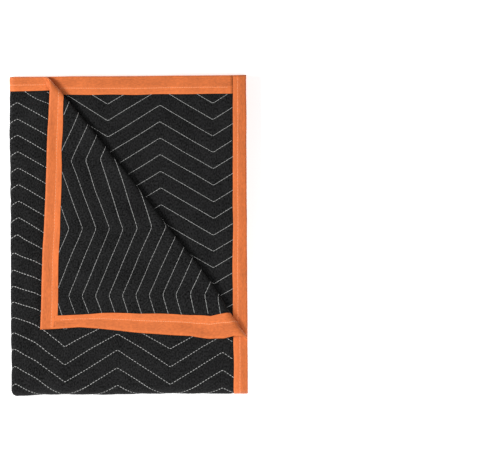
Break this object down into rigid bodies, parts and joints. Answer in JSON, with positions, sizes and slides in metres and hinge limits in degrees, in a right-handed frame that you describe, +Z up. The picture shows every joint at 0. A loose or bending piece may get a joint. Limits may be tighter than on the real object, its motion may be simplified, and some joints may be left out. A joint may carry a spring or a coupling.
{
  "type": "folded quilted moving pad",
  "caption": "Black quilted moving pad with orange bound edges, folded into a flat packet, the top corner turned back.",
  "frame": {"origin": "middle of the flat underside of the folded packet", "axes": "+Z up through the layers, +Y towards the bound long edges, +X towards the two free short ends"},
  "size_m": [0.4654, 0.5015, 0.0543],
  "materials": {
    "black_cloth": "matt black woven cover with pale grey zigzag quilting",
    "orange_binding": "orange non-woven binding with a soft sheen"
  },
  "bodies": {
    "root": {"quilted_cloth": "black_cloth", "binding_long_upper": "orange_binding", "binding_long_lower": "orange_binding", "binding_short_turned": "orange_binding", "binding_short_second": "orange_binding"}
  },
  "joints": []
}
